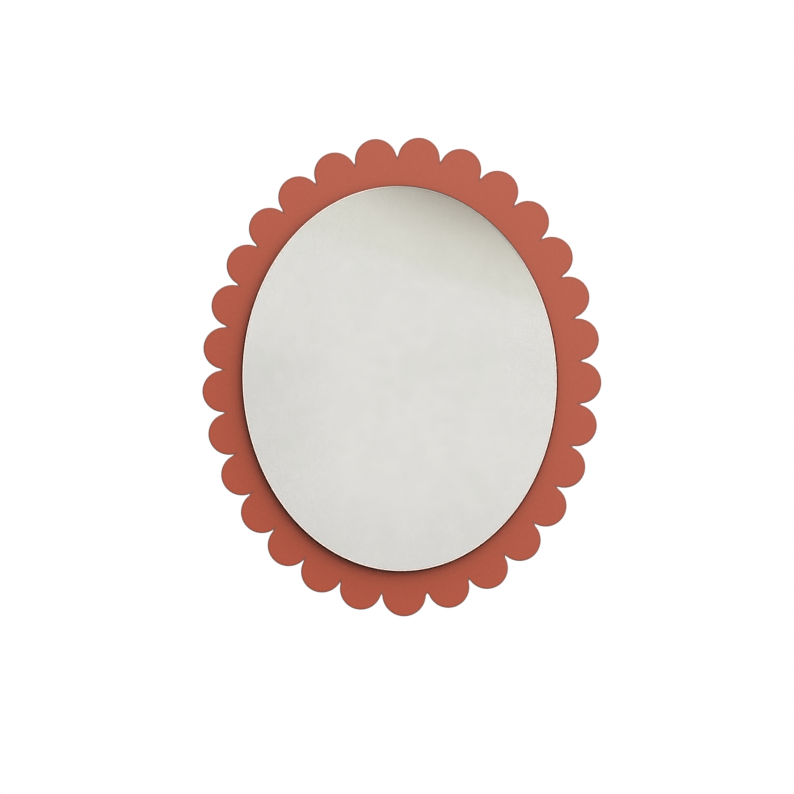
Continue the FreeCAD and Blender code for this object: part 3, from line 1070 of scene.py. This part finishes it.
@dataclass
class MirrorUnit:
    """Oval glass with its silver coat, on the board, tape and mastic that hold it."""

    width: float = 0.394
    height: float = 0.4824
    shift_left: float = 0.0026
    shift_down: float = 0.0032
    turn: float = math.radians(1.6)
    arris: float = 0.0019
    back_arris: float = 0.0005
    margin: float = 0.0012
    # Width of the dark sealer, which is partly painted shade.
    sealer: float = 0.0009
    coat_thickness: float = 0.0001
    coat_gap: float = 0.00005
    steps: int = 288
    node: str = "mirror_glass"
    tape: SoftFiller = SoftFiller(
        name="foam_tape",
        tone=srgb(226, 226, 222),
        pit_tone=srgb(196, 196, 192),
        pits=Grain(1400.0, 3.0, 0.6),
        pit_depth=0.0001,
    )
    mastic: SoftFiller = SoftFiller(
        name="mirror_mastic",
        tone=srgb(196, 190, 176),
        pit_tone=srgb(168, 162, 150),
        pits=Grain(300.0, 3.0, 0.6),
        pit_depth=0.0003,
    )

    def set_by_hand(self, bm: bmesh.types.BMesh) -> None:
        """Turn and shift an oval to where the glass was set.

        Args:
            bm: Mesh of the oval.
        """
        shift = Matrix.Translation((-self.shift_left, 0.0, -self.shift_down))
        turn = Matrix.Rotation(-self.turn, 4, "Y")
        bmesh.ops.transform(bm, matrix=shift @ turn, verts=bm.verts)

    def build_glass(self) -> bpy.types.Object:
        """Clear oval plate with an arris along both edges, and dark sealer brushed on them that is partly
        painted shade.

        Returns:
            The glass.
        """
        low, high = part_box(self.node)
        back_y = high.y - self.coat_thickness - self.coat_gap
        half_width = self.width / 2 + self.sealer
        half_height = self.height / 2 + self.sealer
        bm = oval_blank(half_width, half_height, back_y, low.y, self.steps)
        ease_edges(bm, edges_at_depth(bm, low.y), self.arris, CHAMFER)
        ease_edges(bm, edges_at_depth(bm, back_y), self.back_arris, CHAMFER)
        clear = [face for face in bm.faces if len(face.verts) == self.steps]
        for face in bm.faces:
            face.material_index = GlassFace.CLEAR.value if face in clear else GlassFace.SEALED.value
        front = [face for face in clear if face.calc_center_median().y < (low.y + back_y) / 2]
        # The margin is painted pale, as a highlight along the glass's edge.
        margins = bmesh.ops.inset_region(bm, faces=front, thickness=self.margin, use_boundary=True)
        for face in margins["faces"]:
            face.material_index = GlassFace.GROUND.value
        self.set_by_hand(bm)
        glass = add_piece("oval_glass", bm, ClearGlass(), Body.MIRROR, (self.node,))
        glass.data.materials.append(EdgeSealerAndShade(self.width / 2, self.height / 2).material())
        glass.data.materials.append(MattHighlightMargin(self.width / 2, self.height / 2).material())
        return glass

    def build_coat(self) -> bpy.types.Object:
        """Silver coat behind the glass, clear of its back arris.

        Returns:
            The coat.
        """
        back_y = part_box(self.node)[1].y
        front_y = back_y - self.coat_thickness
        half_width = self.width / 2 - self.back_arris
        half_height = self.height / 2 - self.back_arris
        bm = oval_blank(half_width, half_height, back_y, front_y, self.steps)
        self.set_by_hand(bm)
        finish = SilverCoat((front_y + back_y) / 2)
        return add_piece("silver_coat", bm, finish, Body.MIRROR)

    def dress_support(self) -> None:
        """Finish the board, its screws, the tape and the mastic."""
        low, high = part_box("mounting_board")
        dress_node("mounting_board", BareBoard((high.x - low.x) / 2, (high.z - low.z) / 2))
        dress_node("board_screws", ZincPlate("board_screw_zinc"))
        dress_node("tape_strips", self.tape)
        dress_node("mastic_dabs", self.mastic)

    def build(self) -> None:
        """Glass, coat and what carries them."""
        self.build_glass()
        self.build_coat()
        self.dress_support()


@dataclass
class Hanger:
    """Strap with a rolled eye on the panel's back, its screws, and the ring that swings in it."""

    side: Side
    wire_radius: float = 0.0015
    inner_width: float = 0.02
    corner: float = 0.004
    leg: float = 0.0025
    wire_steps: int = 20
    bow_steps: int = 40
    corner_steps: int = 12
    ring_roughness: float = 0.2
    ring_mark_stretch: tuple[float, float, float] = (260.0, 2600.0, 260.0)
    screw_roughness: float = 0.22

    def pivot(self) -> Vector:
        """Where the ring's bar turns in the eye, from the joint of this side."""
        joint = next(j for j in frame["joints"] if j["name"] == f"ring_{self.side.value}_swing")
        return Vector(joint["pos_m"])

    def run(self, bm: bmesh.types.BMesh, loop: list, way: Vector) -> list[bmesh.types.BMEdge]:
        """Carry a loop of the wire straight on.

        Args:
            bm: Mesh of the wire.
            loop: Edges of the loop.
            way: How far it goes.

        Returns:
            The loop at the far end.
        """
        made = bmesh.ops.extrude_edge_only(bm, edges=loop)
        bmesh.ops.translate(bm, verts=verts_of(made["geom"]), vec=way)
        far = set(verts_of(made["geom"]))
        return [edge for edge in edges_of(made["geom"]) if set(edge.verts) <= far]

    def bend(
        self, bm: bmesh.types.BMesh, loop: list, centre: Vector, angle: float, steps: int
    ) -> list[bmesh.types.BMEdge]:
        """Carry a loop of the wire round a bend.

        Args:
            bm: Mesh of the wire.
            loop: Edges of the loop.
            centre: Middle of the bend.
            angle: How far it turns.
            steps: Stretches of the bend.

        Returns:
            The loop at the far end.
        """
        made = bmesh.ops.spin(
            bm, geom=loop, cent=centre, axis=TOWARDS_WALL, dvec=Vector(), angle=angle, steps=steps
        )
        return edges_of(made["geom_last"])

    def build_ring(self) -> bpy.types.Object:
        """Wire ring: a straight bar in the eye, two corners, two legs and a round bow.

        Returns:
            The ring.
        """
        pivot = self.pivot()
        half = self.inner_width / 2 + self.wire_radius
        reach = half - self.corner
        bm = bmesh.new()
        bmesh.ops.create_circle(bm, segments=self.wire_steps, radius=self.wire_radius)
        face_along = Matrix.Rotation(QUARTER_TURN, 4, "Y")
        bmesh.ops.transform(bm, matrix=Matrix.Translation(pivot) @ face_along, verts=bm.verts)
        loop = self.run(bm, bm.edges[:], RIGHT * reach)
        centre = pivot + RIGHT * reach + DOWN * self.corner
        loop = self.bend(bm, loop, centre, QUARTER_TURN, self.corner_steps)
        loop = self.run(bm, loop, DOWN * self.leg)
        loop = self.bend(bm, loop, pivot + DOWN * (self.corner + self.leg), HALF_TURN, self.bow_steps)
        loop = self.run(bm, loop, -DOWN * self.leg)
        centre = pivot - RIGHT * reach + DOWN * self.corner
        loop = self.bend(bm, loop, centre, QUARTER_TURN, self.corner_steps)
        self.run(bm, loop, RIGHT * reach)
        body = Body[f"RING_{self.side.name}"]
        node = f"hanger_ring_{self.side.value}"
        finish = ZincPlate(
            "ring_zinc", roughness=self.ring_roughness, mark_stretch=self.ring_mark_stretch
        )
        return add_piece(f"wire_ring_{self.side.value}", bm, finish, body, (node,))

    def build(self) -> None:
        """Ring, and the finish of the strap and its screws."""
        self.build_ring()
        dress_node(f"hanger_strap_{self.side.value}", ZincPlate("strap_zinc"))
        screw_finish = ZincPlate("hanger_screw_zinc", roughness=self.screw_roughness)
        dress_node(f"hanger_screws_{self.side.value}", screw_finish)


@dataclass
class WallBumper:
    """Rubber bumper that keeps the panel off the wall."""

    level: Level
    side: Side

    def build(self) -> None:
        """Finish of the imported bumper."""
        dress_node(f"bumper_{self.level.value}_{self.side.value}", BlackRubber())


@dataclass
class Studio:
    """Camera, pale floor and soft light from the upper right of the mirror.

    The room's brightness changes along the line that rises to the light: shade, front, strip, gap
    and bright follow each other there. What the mirror shows of it is told by climb and drift, the
    slopes upwards and to the right of a line of sight into the room.
    """

    lens: float = 135.0
    distance: float = 3.729
    camera_x: float = -0.0059
    camera_z: float = -0.0262
    light_rise: float = math.radians(46)
    shade: float = 0.04
    front: float = 0.92
    strip: float = 3.2
    gap: float = 1.4
    bright: float = 3.75
    far_fill: float = 0.6
    rear: float = 0.45
    front_from: Ramp = Ramp(-0.19, -0.05)
    strip_from: Ramp = Ramp(0.06, 0.12)
    gap_from: Ramp = Ramp(0.18, 0.28)
    bright_from: Ramp = Ramp(0.36, 0.52)
    far_fill_from: Ramp = Ramp(0.4, 0.7)
    rear_from: Ramp = Ramp(-0.05, 0.3)
    least_ahead: float = 0.1
    dim_left: Ramp = Ramp(0.01, 0.055)
    dim_left_top: Ramp = Ramp(0.005, 0.03)
    dim_left_share: float = 0.1
    dim_low: Ramp = Ramp(0.02, 0.065)
    dim_low_share: float = 0.085
    tint_top: Ramp = Ramp(0.09, 0.16)
    soffit_slope: float = 0.32
    soffit_edge: Ramp = Ramp(0.041, 0.05)
    soffit_right: Ramp = Ramp(-0.02, 0.015)
    soffit_left_share: float = 0.75
    gloom_slope: float = 0.42
    gloom_start: float = 0.05
    gloom_width: float = 0.0242
    plain_light: Colour = (1.0, 0.988, 0.96, 1.0)
    warm_light: Colour = (0.94, 0.93, 0.845, 1.0)
    dusk_light: Colour = (0.56, 0.51, 0.44, 1.0)
    floor_drop: float = 1.3
    floor_radius: float = 3.4
    floor_steps: int = 128
    fill_energy: float = 60.0
    fill_size: float = 2.0
    fill_place: tuple[float, float, float] = (1.0, 2.2, 1.1)

    def set_camera(self) -> None:
        """Camera in front of the panel, looking straight at the wall."""
        data = bpy.data.cameras.new("front_camera")
        data.lens = self.lens
        camera = bpy.data.objects.new("front_camera", data)
        front_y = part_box("scalloped_panel")[0].y
        camera.location = (self.camera_x, front_y - self.distance, self.camera_z)
        camera.rotation_euler = (QUARTER_TURN, 0.0, 0.0)
        bpy.context.scene.collection.objects.link(camera)
        bpy.context.scene.camera = camera

    def lay_floor(self) -> None:
        """Round pale floor well below the mirror, which doesn't show in the glass."""
        bm = bmesh.new()
        bmesh.ops.create_circle(bm, cap_ends=True, segments=self.floor_steps, radius=self.floor_radius)
        bmesh.ops.translate(bm, verts=bm.verts, vec=DOWN * self.floor_drop)
        mesh = bpy.data.meshes.new("floor")
        bm.to_mesh(mesh)
        bm.free()
        mesh.materials.append(PaleFloor().material())
        floor = bpy.data.objects.new("floor", mesh)
        bpy.context.scene.collection.objects.link(floor)
        floor.visible_diffuse = False
        floor.visible_glossy = False
        floor.visible_transmission = False

    def room_level(self, across: Sock, depth: Sock, up: Sock) -> Sock:
        """Brightness of the room, by direction.

        Args:
            across, depth, up: The parts of the direction.

        Returns:
            The brightness.
        """
        lit = across * math.cos(self.light_rise) + up * math.sin(self.light_rise)
        level = self.shade + lit.ease(self.front_from) * (self.front - self.shade)
        level = level + lit.ease(self.strip_from) * (self.strip - self.front)
        level = level + lit.ease(self.gap_from) * (self.gap - self.strip)
        level = level + lit.ease(self.bright_from) * (self.bright - self.gap)
        level = level + (-lit).ease(self.far_fill_from) * (self.far_fill - self.shade)
        return level + depth.ease(self.rear_from) * (self.rear - level)

    def room_dimming(self, climb: Sock, drift: Sock) -> Sock:
        """Share of the brightness that is left at the lower left and low down in the room.

        Args:
            climb: Slope upwards of the line of sight.
            drift: Its slope to the right.

        Returns:
            The share.
        """
        left = (-drift).ease(self.dim_left) * (1.0 - climb.ease(self.dim_left_top))
        low = (-climb).ease(self.dim_low)
        return (1.0 - left * self.dim_left_share) * (1.0 - low * self.dim_low_share)

    def room_colour(self, tree: ShaderTree, climb: Sock, drift: Sock) -> Sock:
        """Colour of the room: plain, warm under a sloping soffit, and dusky in its far corner.

        Args:
            tree: Tree of the world.
            climb: Slope upwards of the line of sight.
            drift: Its slope to the right.

        Returns:
            The colour.
        """
        shown = 1.0 - climb.ease(self.tint_top)
        weight = self.soffit_left_share + drift.ease(self.soffit_right) * (1.0 - self.soffit_left_share)
        soffit = (climb + drift * self.soffit_slope).ease(self.soffit_edge) * weight
        corner = climb + drift * self.gloom_slope - self.gloom_start
        gloom = (corner / self.gloom_width).at_least(0.0)
        colour = tree.mix(soffit * shown, self.plain_light, self.warm_light)
        return tree.mix((gloom * gloom).at_most(1.0) * shown, colour, self.dusk_light)

    def light_room(self) -> None:
        """Room that is bright at the upper right and dim at the lower left, seen as white."""
        world = bpy.data.worlds.new("studio")
        bpy.context.scene.world = world
        world.use_nodes = True
        tree = ShaderTree(world.node_tree)
        across, depth, up = tree.axes(tree.sock("ShaderNodeTexCoord", output="Generated"))
        ahead = (-depth).at_least(self.least_ahead)
        climb = up / ahead
        drift = across / ahead
        level = self.room_level(across, depth, up) * self.room_dimming(climb, drift)
        colour = self.room_colour(tree, climb, drift)
        room = tree.sock("ShaderNodeBackground", inputs={"Color": colour, "Strength": level})
        seen = tree.sock("ShaderNodeBackground", inputs={"Color": WHITE, "Strength": 1.0})
        direct = tree.sock("ShaderNodeLightPath", output="Is Camera Ray")
        shown = tree.sock("ShaderNodeMixShader", inputs={0: direct, 1: room, 2: seen})
        tree.node("ShaderNodeOutputWorld", inputs={"Surface": shown})

    def light_back(self) -> None:
        """Soft light on the panel's back."""
        data = bpy.data.lights.new("back_fill", "AREA")
        data.energy = self.fill_energy
        data.size = self.fill_size
        lamp = bpy.data.objects.new("back_fill", data)
        place = Vector(self.fill_place)
        lamp.location = place
        lamp.rotation_euler = (-place).to_track_quat("-Z", "Y").to_euler()
        bpy.context.scene.collection.objects.link(lamp)

    def build(self) -> None:
        """Camera, floor and lights."""
        self.set_camera()
        self.lay_floor()
        self.light_room()
        self.light_back()
        bpy.context.scene.view_settings.view_transform = "Standard"


def main() -> None:
    """Build and dress the mirror, then set up the studio."""
    logging.basicConfig(level=logging.INFO, format="%(message)s")
    ScallopedPanel().build()
    MirrorUnit().build()
    for side in Side:
        Hanger(side).build()
        for level in Level:
            WallBumper(level, side).build()
    Studio().build()


if __name__ == "__main__":
    main()
